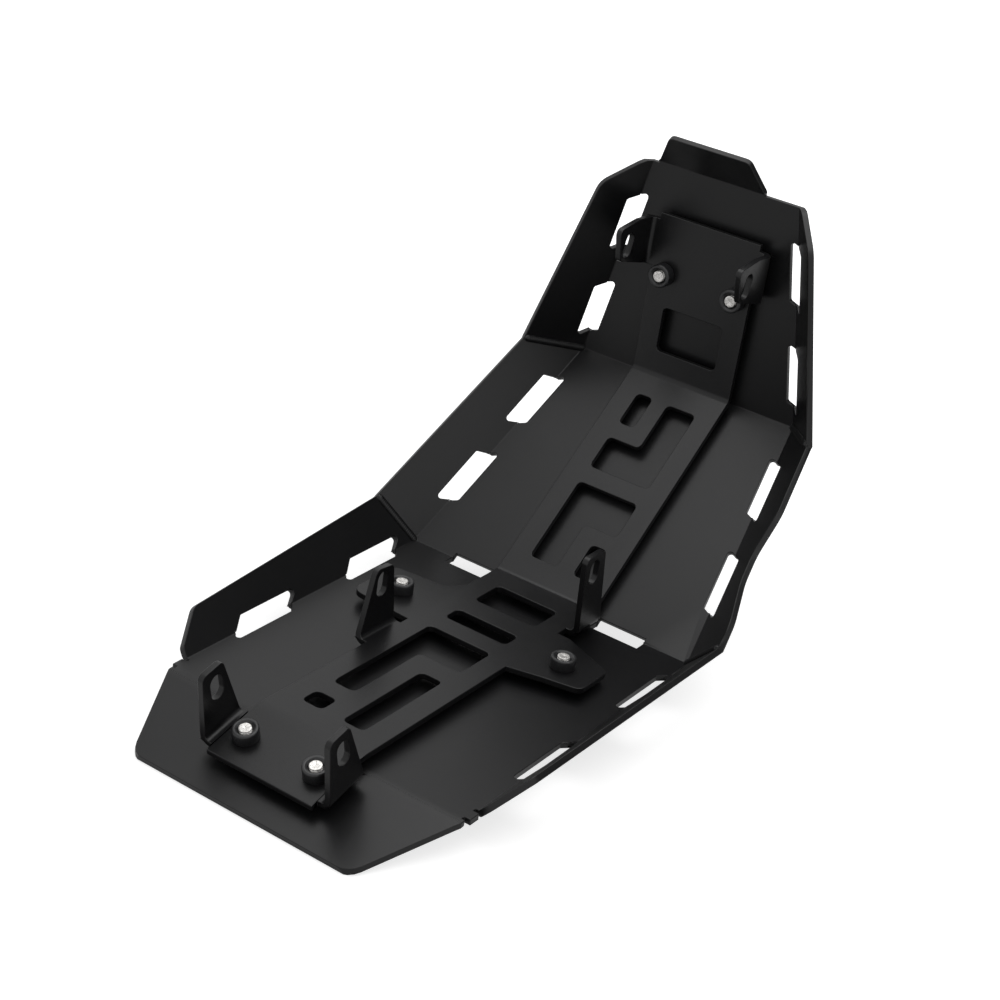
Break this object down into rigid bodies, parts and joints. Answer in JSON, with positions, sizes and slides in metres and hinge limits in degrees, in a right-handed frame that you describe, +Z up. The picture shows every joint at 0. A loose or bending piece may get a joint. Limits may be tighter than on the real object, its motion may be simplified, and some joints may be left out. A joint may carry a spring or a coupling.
{
  "type": "motorcycle skid plate",
  "caption": "Folded sheet skid plate with flared, slotted sides, an upturned end with a tab, and a cut-out bracket with slotted ears.",
  "frame": {"origin": "under the middle of the whole, level with the lowest edge of the lip", "axes": "+Z up from the level floor, +Y from the lip toward the upturned end, +X to the right seen from the lip"},
  "size_m": [0.2726, 0.4636, 0.3042],
  "materials": {
    "shell_coat": "fine-textured black powder coat",
    "bracket_coat": "fine-textured black powder coat",
    "zinc_steel": "bright zinc plated",
    "black_steel": "black oxide"
  },
  "bodies": {
    "root": {"skid_shell": "shell_coat", "mounting_bracket": "bracket_coat", "bolt_1": "zinc_steel", "washer_1": "zinc_steel", "spacer_1": "black_steel", "collar_nut_1": "black_steel", "bolt_2": "zinc_steel", "washer_2": "zinc_steel", "spacer_2": "black_steel", "collar_nut_2": "black_steel", "bolt_3": "zinc_steel", "washer_3": "zinc_steel", "spacer_3": "black_steel", "collar_nut_3": "black_steel", "bolt_4": "zinc_steel", "washer_4": "zinc_steel", "spacer_4": "black_steel", "collar_nut_4": "black_steel", "bolt_5": "zinc_steel", "washer_5": "zinc_steel", "spacer_5": "black_steel", "collar_nut_5": "black_steel", "bolt_6": "zinc_steel", "washer_6": "zinc_steel", "spacer_6": "black_steel", "collar_nut_6": "black_steel"}
  },
  "joints": []
}
